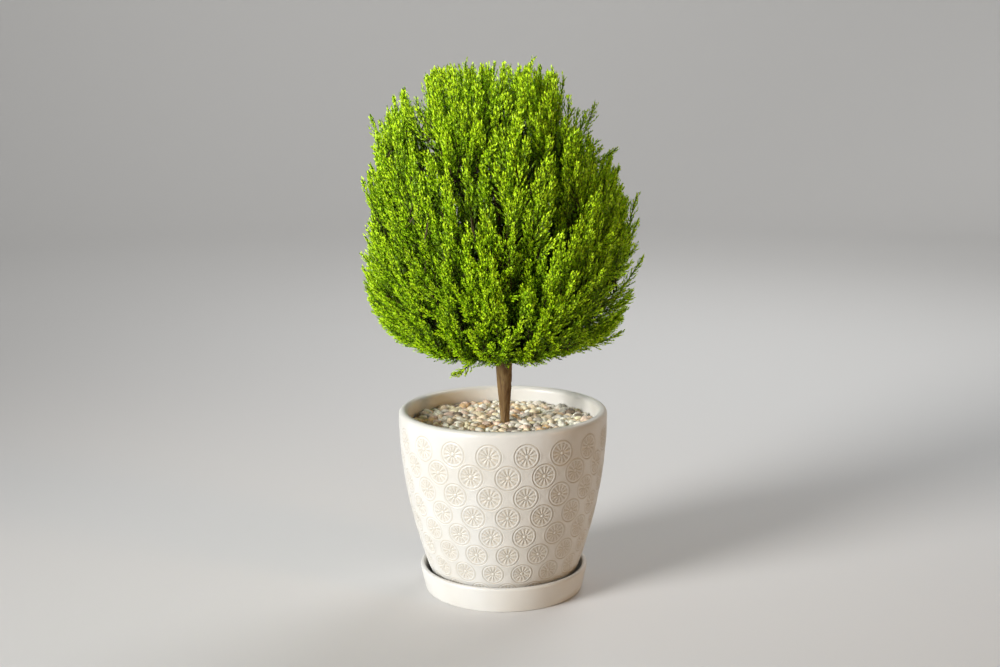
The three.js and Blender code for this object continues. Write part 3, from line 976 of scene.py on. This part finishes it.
def make_boughs(settings, limbs):
    bm = bmesh.new()
    hollow = bm.verts.layers.float.new("hollow")
    boughs = [limb for limb in limbs if limb.name != "peak"]
    for number, limb in enumerate(boughs):

        def place(turn, share, limb=limb, seed=number * BARK.apart):
            angle = (turn % 1) * TURN
            along = share * BOUGH.bark
            tangent = curve_tangent(limb.start, limb.control, limb.end, along)
            across, up = sideways(tangent, STEADY)
            radius = mix(BOUGH.radius, BOUGH.tip_radius, share)
            depth = bark_depth(angle, along * limb.length, radius, seed)
            out = radius - BARK.bough_share * settings.relief * depth
            return limb.point(along) + out * around(across, up, angle), depth

        wrapped_limb(bm, hollow, BOUGH.around, BOUGH.along, place)
    bark = bark_finish("bough_bark", settings.rusty, settings.pale, settings.dark)
    replaced = [f"bough_{limb.name}" for limb in boughs]
    finished_piece("bough_bark", mesh_from(bm, "bough_bark"), [bark], replaced)


# Foliage


def shoot_tips(limb, count):
    """Where a limb's shoots end: first those of the solid, then finer ones, and then its sprigs."""
    random = seeded(limb.seed)
    across = unit([-limb.direction[1], limb.direction[0], 0.001])
    up = np.cross(limb.direction, across)
    tips = [limb.end]
    for number in range(1, count):
        draws = np.array([next(random) for _ in range(3 * SHOOT.choices)]).reshape(-1, 3)
        sides = SHOOT.spread * (2 * draws[:, :2] - 1)
        directions = unit(limb.direction + sides[:, :1] * across + sides[:, 1:] * up)
        surface = reach(directions)
        out = surface * mix(*SHOOT.stop, draws[:, 2])
        fine = number >= limb.shoots
        if fine:
            depths = RISE.inner if number % 3 == 1 else RISE.outer
            sunk = mix(*depths, draws[:, 2]) + furrows(FAN + directions * surface[:, None])
            out = np.maximum(surface - sunk, RISE.least * surface)
        if fine and number % 20 == 5:
            out = surface * mix(*RISE.heart, draws[:, 2])
        choices = FAN + directions * out[:, None]
        distances = np.linalg.norm(choices[:, None] - np.array(tips)[None], axis=2).min(1)
        fits = (limb.inside(choices) >= SHOOT.tip_margin) & clear_of_stem(choices)
        if fine:
            heading = rising(directions)
            fits = limb.inside(choices - RISE.rooted * heading) >= 0
            for depth in OPENING_DEPTHS:
                fits &= ~in_opening(choices - depth * heading)
        distances[~fits] = 0
        if distances.max() > 0:
            tips.append(choices[distances.argmax()])
    return np.array(tips + limb.sprigs)


def shoot_controls(nodes, tips, bow):
    """The middle points of shoots that bend outwards before they turn up."""
    chord = np.linalg.norm(tips - nodes, axis=1, keepdims=True)
    outward = unit((nodes - FAN) * (1, 1, 0) + (1e-6, 0, 0))
    return (nodes + tips) / 2 + bow * chord * (outward - (0, 0, 0.5))


def in_opening(points):
    """Which points lie in front of or behind a place where sky shows."""
    apart = points[:, None, ::2] - OPENINGS[:, :2]
    return (np.linalg.norm(apart, axis=2) < OPENINGS[:, 2]).any(1)


def furrows(points):
    """How far the head's surface is sunk between its plumes, at points of it."""
    sizes = (FURROWS.across, FURROWS.across, FURROWS.up)
    values = np.array([noise.noise(Vector(point)) for point in points / sizes])
    low = smooth_step(*FURROWS.fade, points[:, 2])
    return FURROWS.depth * low * smooth_step(*FURROWS.spread, values)


def first_shoots(limb, settings):
    """The shoots that leave a bough, the places on them where others fork, and all the tips."""
    tips = shoot_tips(limb, round(limb.shoots * settings.finer * CLOSER[limb.ring]))
    main = tips[: limb.shoots]
    back = SHOOT.backing * np.linalg.norm(main - limb.end, axis=1) / limb.length
    shares = np.maximum(limb.entry + SHOOT.first_node, limb.stem_end - back)
    nodes = limb.point(shares[:, None])
    controls = shoot_controls(nodes, main, SHOOT.bow)
    along = np.linspace(*SHOOT.forks)[:, None]
    on_shoots = curve_point(nodes[:, None], controls[:, None], main[:, None], along)
    on_bough = limb.point(mix(limb.entry, SHOOT.bough_forks, along))
    forks = np.concatenate([on_shoots.reshape(-1, 3), on_bough])
    return Sizes(limb=limb, nodes=nodes, controls=controls, tips=tips, forks=forks)


def all_shoots(first, forks, settings):
    """Start, control and end of a limb's shoots: the finer ones rise from the forks below them."""
    fine = first.tips[first.limb.shoots :]
    heading = rising(unit(fine - FAN))
    aims = fine - settings.leafy * heading
    apart = forks[None] - aims[:, None]
    above = np.clip(apart[..., 2], 0, None)
    starts = forks[(np.linalg.norm(apart, axis=2) + above).argmin(1)]
    chord = np.linalg.norm(fine - starts, axis=1, keepdims=True)
    nodes = np.concatenate([first.nodes, starts])
    controls = np.concatenate([first.controls, fine - RISE.turn * chord * heading])
    return nodes, controls, first.tips


def rising(directions):
    """The way that finer shoots head at their tips, which lie in those directions."""
    lift = RISE.lift * smooth_step(RISE.level, RISE.steep, directions[:, 2:])
    return unit(directions + lift * np.array([0, 0, 1]))


def leafy_twigs(nodes, controls, tips, settings, random):
    """Side twigs along the outer stretch of each shoot, turned about it by the golden angle."""
    legs = (tips - nodes, tips - controls, controls - nodes)
    length = sum(np.linalg.norm(leg, axis=1) for leg in legs) / 2
    count = int(settings.twigs)
    bare = np.clip(1 - settings.leafy / length, TWIGS.bare, 1)[:, None]
    last = (1 - TWIGS.last * settings.twig / length)[:, None]
    order = (np.arange(count) + random.uniform(*TWIGS.jitter, (len(nodes), count))) / count
    along = order**TWIGS.crowding
    shares = mix(bare, last, along)[..., None]
    curve = nodes[:, None], controls[:, None], tips[:, None]
    ahead = curve_tangent(*curve, shares)
    side, face = sideways(ahead, unit(nodes - FAN + (0, 0, TWIGS.outward))[:, None])
    roll = random.uniform(-TWIGS.roll, TWIGS.roll, (len(nodes), 1))
    turn = np.arange(count) * GOLDEN_ANGLE + roll
    spoke = around(side, face, turn)
    wander = random.uniform(-TWIGS.lean_wander, TWIGS.lean_wander, along.shape)
    heading = around(ahead, spoke, np.radians(mix(*TWIGS.lean, along) + wander))
    swell = np.sin(math.pi * mix(*TWIGS.swell, along))
    flat = 1 - TWIGS.flat * np.abs(np.sin(turn))
    stunted = random.random(along.shape) < TWIGS.stunted.share
    uneven = np.where(stunted, TWIGS.stunted.size, 1) * random.uniform(*TWIGS.uneven, along.shape)
    size = np.maximum(settings.twig * swell * flat * uneven, TWIGS.least * settings.twig)
    # Lighter towards the shoot's tip: new growth there, and painted shade on the inner sprays
    wander = random.uniform(-TWIGS.bright_wander, TWIGS.bright_wander, along.shape)
    bright = along * TWIGS.brighter + wander
    return Sizes(
        base=curve_point(*curve, shares),
        heading=heading,
        ahead=ahead,
        spoke=spoke,
        size=size,
        bright=bright,
    )


def needles(twigs, settings, random):
    """Short needles all along the side twigs: for each its four corners, and its twig's number."""
    most = int(np.ceil(twigs.size.max() / settings.spacing))
    count = np.maximum(2, np.round(twigs.size / settings.spacing))[..., None]
    order = np.arange(most)
    share = ((order + NEEDLES.first) / count)[..., None]
    size = twigs.size[..., None, None]
    heading = twigs.heading[:, :, None]
    bent = twigs.ahead[:, :, None] - heading
    base = twigs.base[:, :, None] + size * (share * heading + NEEDLES.bend * share**2 * bent)
    along = unit(heading + 2 * NEEDLES.bend * share * bent)
    turn = order * GOLDEN_ANGLE + random.uniform(0, TURN, twigs.size.shape)[..., None]
    out = around(*sideways(along, twigs.spoke[:, :, None]), turn)
    needle = around(along, out, np.where(order == count - 1, 0.0, NEEDLES.splay))
    here = order < count
    needle, base, out, along = needle[here], base[here], out[here], along[here]
    long = settings.needle * random.uniform(*NEEDLES.lengths, (len(base), 1))
    wide = settings.needle_width * random.uniform(*NEEDLES.widths, (len(base), 1))
    broad, thick = sideways(needle, along + NEEDLES.off * out)
    middle = base + NEEDLES.widest * long * needle + NEEDLES.fold * wide * thick
    corners = np.stack(
        [
            base - NEEDLES.sunk * long * needle,
            middle + 0.5 * wide * broad,
            base + long * needle,
            middle - 0.5 * wide * broad,
        ],
        axis=1,
    )
    number = np.arange(twigs.size.size).reshape(twigs.size.shape)[..., None]
    return corners, np.broadcast_to(number, here.shape)[here]


# The triangles between a needle's four corners, and between a side twig's, whose tip is the last
LEAF = np.array([(0, 1, 2), (0, 2, 3)])
DART = np.array([(0, 1, 3), (1, 2, 3), (2, 0, 3)])


def repeated(shape, count, first=0):
    """The triangles of a four-pointed shape, again and again."""
    return ((first + np.arange(count) * 4)[:, None, None] + shape).reshape(-1, 3)


def twig_darts(twigs, settings):
    """The green side twigs themselves, as slim darts."""
    base, ahead, spoke = (part.reshape(-1, 3) for part in (twigs.base, twigs.ahead, twigs.spoke))
    own = twigs.heading.reshape(-1, 3)
    heading = unit((1 - TWIGS.straighter) * own + TWIGS.straighter * ahead)
    across, up = sideways(heading, spoke)
    radius = settings.stem / 2
    roots = [base + radius * around(across, up, turn) for turn in THIRDS]
    tips = base + TWIGS.length * twigs.size.reshape(-1, 1) * heading
    return np.stack([*roots, tips], axis=1)


def shoot_stems(nodes, controls, tips, settings):
    """The shoots' own stems: three-sided and tapering, in short lengths along each curve.

    Their points, their triangles, and for each triangle whether it is on the green outer half.
    """
    steps = STEMS.steps
    shares = np.linspace(0, STEMS.end, steps + 1)[None, :, None]
    curve = nodes[:, None], controls[:, None], tips[:, None]
    centres = curve_point(*curve, shares)
    across, up = sideways(curve_tangent(*curve, shares), STEADY)
    radius = mix(settings.stem * STEMS.root, settings.stem * STEMS.tip, shares)
    rings = [centres + radius * around(across, up, turn) for turn in THIRDS]
    sides = []
    for step in range(steps):
        for k in range(3):
            a, b = step * 3 + k, step * 3 + (k + 1) % 3
            sides += [(a, b, a + 3), (b, b + 3, a + 3)]
    last = steps * 3
    stem = np.array([*sides, (0, 2, 1), (last, last + 1, last + 2)])
    triangles = (np.arange(len(nodes)) * 3 * (steps + 1))[:, None, None] + stem
    green = (stem.min(1) // 3 >= steps // 2).astype(int)
    points = np.stack(rings, axis=2).reshape(-1, 3)
    return points, triangles.reshape(-1, 3), np.tile(green, len(nodes))


def make_foliage(settings, limbs):
    # Painted light and shade: the lighter greens go to sprays out at the surface, the darker ones
    # to sprays deep in the head
    tones = ("shade", "deep", "mid", "bright", "lime")
    leaves = [leaf_finish(f"leaf_{tone}", tuple(getattr(settings, tone))) for tone in tones]
    brown = bark_finish("twig_brown", settings.twig_brown, settings.twig_brown, settings.shade)
    green = leaf_finish("twig_green", tuple(settings.deep))
    groups = {}
    grown = [first_shoots(limb, settings) for limb in limbs]
    forks = np.concatenate([first.forks for first in grown])
    for limb, first in zip(limbs, grown):
        random = np.random.default_rng(limb.seed)
        nodes, controls, tips = all_shoots(first, forks, settings)
        twigs = leafy_twigs(nodes, controls, tips, settings, random)
        corners, number = needles(twigs, settings, random)
        # Sprays whose shoots end deeper under the head's surface, in its furrows too, take darker
        # greens: painted shade of the interior, partly older growth
        rays = tips - FAN
        out = (np.linalg.norm(rays, axis=1) / reach(unit(rays)))[:, None]
        wander = random.uniform(-TONES.wander, TONES.wander, out.shape)
        standing = TONES.standing * (out - TONES.out) + wander
        value = np.clip(TONES.usual + twigs.bright + standing, 0, TONES.most)
        tone = (value * len(leaves)).astype(int).ravel()
        name = f"needles_{limb.name}"
        faces = repeated(LEAF, len(corners))
        face_tones = np.repeat(tone[number], len(LEAF))
        mesh = joined_mesh(name, corners.reshape(-1, 3), faces, face_tones)
        finished_piece(name, mesh, leaves, [f"foliage_{limb.name}"])
        group = groups.setdefault("top" if limb.ring == "peak" else limb.ring, [])
        stems = shoot_stems(nodes, controls, tips, settings)
        group.append((twig_darts(twigs, settings), stems))
    for ring, group in groups.items():
        make_twigs(ring, group, [green, brown])


def make_twigs(ring, group, finishes):
    """All the stems and side twigs of one ring of boughs, joined."""
    points, triangles, tones = [], [], []
    total = 0
    for darts, (stem_points, stem_triangles, green) in group:
        dart_triangles = repeated(DART, len(darts))
        for part, faces, tone in (
            (darts.reshape(-1, 3), dart_triangles, np.zeros(len(dart_triangles))),
            (stem_points, stem_triangles, 1 - green),
        ):
            points.append(part)
            triangles.append(faces + total)
            tones.append(tone)
            total += len(part)
    mesh = joined_mesh(f"twigs_{ring}", *map(np.concatenate, (points, triangles, tones)))
    finished_piece(f"twigs_{ring}", mesh, finishes, smooth=False)


# Stage


def add_light(name, power, place, aim, size, colour, spread):
    light = bpy.data.lights.new(name, "AREA")
    light.shape = "SQUARE"
    light.size = size
    light.spread = math.radians(spread)
    light.energy = power
    light.color = colour
    lamp = bpy.data.objects.new(name, light)
    lamp.location = place
    lamp.rotation_euler = (Vector(aim) - Vector(place)).to_track_quat("-Z", "Y").to_euler()
    bpy.context.scene.collection.objects.link(lamp)


def make_stage(settings):
    """A pale round floor that rises all round, soft lights, a dim sky and the camera."""
    flat, rise = STAGE.flat, STAGE.rise
    profile = [(radius, 0) for radius in STAGE.level]
    profile += [*arc(flat, rise, rise, -90, 0, 10), (flat + rise, STAGE.top)]
    pale = new_finish("pale_floor", 0.95, tuple(settings.floor), {"Specular IOR Level": 0.1})
    floor = shown_object("floor", turned_mesh("floor", profile, STAGE.steps), [pale])

    world = bpy.data.worlds.new("soft_sky")
    world.use_nodes = True
    sky = world.node_tree.nodes["Background"]
    sky.inputs["Color"].default_value = STAGE.sky
    sky.inputs["Strength"].default_value = settings.sky
    bpy.context.scene.world = world
    for name, light in LIGHTS.items():
        add_light(name, getattr(settings, name), *light)

    camera = bpy.data.objects.new("camera", bpy.data.cameras.new("camera"))
    camera.data.sensor_width = STAGE.sensor
    camera.data.lens = settings.lens
    camera.data.clip_start = STAGE.near
    place = Matrix.Translation(STAGE.camera)
    pitch = Matrix.Rotation(math.radians(90 - STAGE.down), 4, "X")
    roll = Matrix.Rotation(math.radians(STAGE.roll), 4, "Z")
    camera.matrix_world = place @ pitch @ roll
    bpy.context.scene.collection.objects.link(camera)
    bpy.context.scene.camera = camera
    bpy.context.scene.view_settings.view_transform = "Standard"


# Settings that a user would change


def colour_property(name, description, default):
    return FloatVectorProperty(
        name=name, description=description, default=default, subtype="COLOR", min=0, max=1
    )


def length_property(name, description, default):
    return FloatProperty(
        name=name, description=description, default=default, unit="LENGTH", min=0, precision=5
    )


def count_property(name, description, default, least=1):
    return IntProperty(name=name, description=description, default=default, min=least)


def power_property(name, description, default):
    return FloatProperty(name=name, description=description, default=default, subtype="POWER")


class PotSettings(bpy.types.PropertyGroup):
    """The stamped pattern, and the glaze of the pot and its saucer."""

    medallion: length_property("Medallion", "Widest diameter of a stamped medallion", 20.8 * MM)
    relief: length_property("Relief", "Depth of the stamped pattern", 0.75 * MM)
    spokes: count_property("Spokes", "Spokes of a medallion", 12, least=3)
    glaze: colour_property("Glaze", "Colour of the glaze", (0.63, 0.625, 0.595))
    # Also painted shade: the glaze takes this colour down in the stamped hollows
    hollow: colour_property("Hollows", "Colour of glaze that has run together", (0.47, 0.42, 0.33))


class GravelSettings(bpy.types.PropertyGroup):
    """The stones, and the potting mix under them."""

    pebble: length_property("Pebble", "Usual length of a pebble", 7.1 * MM)
    pebbles: count_property("Pebbles", "Stones in a layer", 500)
    cream: colour_property("Cream", "Cream stones", (0.93, 0.84, 0.68))
    beige: colour_property("Beige", "Beige stones", (0.8, 0.66, 0.46))
    sand: colour_property("Sand", "Sand-coloured stones", (0.88, 0.74, 0.5))
    grey: colour_property("Grey", "Grey stones", (0.68, 0.63, 0.54))
    pink: colour_property("Pink", "Pinkish stones", (0.86, 0.64, 0.49))
    ochre: colour_property("Ochre", "Ochre stones", (0.78, 0.53, 0.27))
    dark: colour_property("Dark", "Dark stones", (0.22, 0.17, 0.12))
    soil: colour_property("Soil", "Potting mix", (0.035, 0.022, 0.014))
    crumbs: colour_property("Crumbs", "Paler crumbs of bark in the mix", (0.12, 0.075, 0.045))


class BarkSettings(bpy.types.PropertyGroup):
    """The bark of the trunk and the boughs."""

    relief: length_property("Relief", "Depth of the bark's furrows", 0.55 * MM)
    pale: colour_property("Pale", "Worn bark", (0.19, 0.12, 0.042))
    rusty: colour_property("Rusty", "Fresh, rusty bark", (0.12, 0.065, 0.02))
    dark: colour_property("Dark", "Bark down in the furrows", (0.07, 0.035, 0.018))


class FoliageSettings(bpy.types.PropertyGroup):
    """How the shoots are set with twigs and needles, and their greens."""

    finer: FloatProperty(name="Finer", description="Shoots for each one of the solids", default=6.9)
    leafy: length_property("Leafy", "Length of shoot that carries side twigs", 44 * MM)
    twigs: count_property("Side twigs", "Side twigs on a shoot", 34)
    twig: length_property("Side twig", "Length of the longest side twigs", 11 * MM)
    stem: length_property("Stem", "Thickness of the side twigs", 0.75 * MM)
    needle: length_property("Needle", "Length of a needle", 2.2 * MM)
    needle_width: length_property("Needle width", "Width of a needle", 1.05 * MM)
    spacing: length_property("Spacing", "From needle to needle along a twig", 1.1 * MM)
    # Painted light and shade: the lighter greens are for sprays out in the light, the darker ones
    # for sprays deep in the head, which are partly older growth too
    lime: colour_property("Lime", "Newest tips", (0.6, 0.86, 0.012))
    bright: colour_property("Bright", "Sprays in the light", (0.47, 0.74, 0.008))
    mid: colour_property("Mid", "Sprays half in shade", (0.25, 0.43, 0.006))
    deep: colour_property("Deep", "Older sprays", (0.075, 0.14, 0.004))
    shade: colour_property("Shade", "Innermost sprays", (0.02, 0.043, 0.003))
    twig_brown: colour_property("Twig", "Brown twigs inside the head", (0.07, 0.05, 0.018))


class StageSettings(bpy.types.PropertyGroup):
    """The pale floor, the lights and the lens."""

    floor: colour_property("Floor", "Colour of the floor", (0.64, 0.635, 0.625))
    key: power_property("Key", "Light from the left", 7.6)
    top: power_property("Top", "Light from above", 8.5)
    fill: power_property("Fill", "Warm light from the right", 0.4)
    back: power_property("Back", "Light from behind", 5)
    backdrop: power_property("Backdrop", "Light on the floor's far side", 36)
    sky: FloatProperty(name="Sky", description="Light from all round", default=0.085)
    lens: FloatProperty(name="Lens", description="Focal length", default=50, unit="CAMERA")


# Operators


class TOPIARY_OT_stage(bpy.types.Operator):
    """Make the floor, the lights and the camera"""

    bl_idname = "topiary.stage"
    bl_label = "Stage"

    def execute(self, context):
        make_stage(context.scene.topiary_stage)
        return {"FINISHED"}


class TOPIARY_OT_pot(bpy.types.Operator):
    """Model the pot with its stamped medallions"""

    bl_idname = "topiary.pot"
    bl_label = "Pot"

    def execute(self, context):
        make_pot(context.scene.topiary_pot)
        return {"FINISHED"}


class TOPIARY_OT_saucer(bpy.types.Operator):
    """Turn the saucer"""

    bl_idname = "topiary.saucer"
    bl_label = "Saucer"

    def execute(self, context):
        make_saucer(context.scene.topiary_pot)
        return {"FINISHED"}


class TOPIARY_OT_gravel(bpy.types.Operator):
    """Lay the pebbles on the potting mix"""

    bl_idname = "topiary.gravel"
    bl_label = "Soil and gravel"

    def execute(self, context):
        make_soil(context.scene.topiary_gravel)
        make_gravel(context.scene.topiary_gravel)
        return {"FINISHED"}


class TOPIARY_OT_wood(bpy.types.Operator):
    """Model the trunk and the boughs with their bark"""

    bl_idname = "topiary.wood"
    bl_label = "Trunk and boughs"

    def execute(self, context):
        make_trunk(context.scene.topiary_bark)
        make_boughs(context.scene.topiary_bark, make_limbs())
        return {"FINISHED"}


class TOPIARY_OT_foliage(bpy.types.Operator):
    """Grow the shoots, twigs and needles of the head"""

    bl_idname = "topiary.foliage"
    bl_label = "Foliage"

    def execute(self, context):
        make_foliage(context.scene.topiary_foliage, make_limbs())
        return {"FINISHED"}


OPERATORS = (
    TOPIARY_OT_stage,
    TOPIARY_OT_pot,
    TOPIARY_OT_saucer,
    TOPIARY_OT_gravel,
    TOPIARY_OT_wood,
    TOPIARY_OT_foliage,
)
SETTINGS = {
    "topiary_pot": PotSettings,
    "topiary_gravel": GravelSettings,
    "topiary_bark": BarkSettings,
    "topiary_foliage": FoliageSettings,
    "topiary_stage": StageSettings,
}


class TOPIARY_PT_panel(bpy.types.Panel):
    """Buttons for the pieces, and the sizes and colours they take"""

    bl_label = "Potted topiary"
    bl_idname = "TOPIARY_PT_panel"
    bl_space_type = "VIEW_3D"
    bl_region_type = "UI"
    bl_category = "Topiary"

    def draw(self, context):
        for operator in OPERATORS:
            self.layout.operator(operator.bl_idname)
        for name, group in SETTINGS.items():
            box = self.layout.box()
            for key in group.__annotations__:
                box.prop(getattr(context.scene, name), key)


def register():
    for group in SETTINGS.values():
        bpy.utils.register_class(group)
    for name, group in SETTINGS.items():
        setattr(bpy.types.Scene, name, PointerProperty(type=group))
    for operator in OPERATORS:
        bpy.utils.register_class(operator)
    bpy.utils.register_class(TOPIARY_PT_panel)


def unregister():
    bpy.utils.unregister_class(TOPIARY_PT_panel)
    for operator in reversed(OPERATORS):
        bpy.utils.unregister_class(operator)
    for name in SETTINGS:
        delattr(bpy.types.Scene, name)
    for group in reversed(SETTINGS.values()):
        bpy.utils.unregister_class(group)


def main():
    register()
    bpy.ops.topiary.stage()
    bpy.ops.topiary.pot()
    bpy.ops.topiary.saucer()
    bpy.ops.topiary.gravel()
    bpy.ops.topiary.wood()
    bpy.ops.topiary.foliage()
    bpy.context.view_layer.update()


if __name__ == "__main__":
    main()
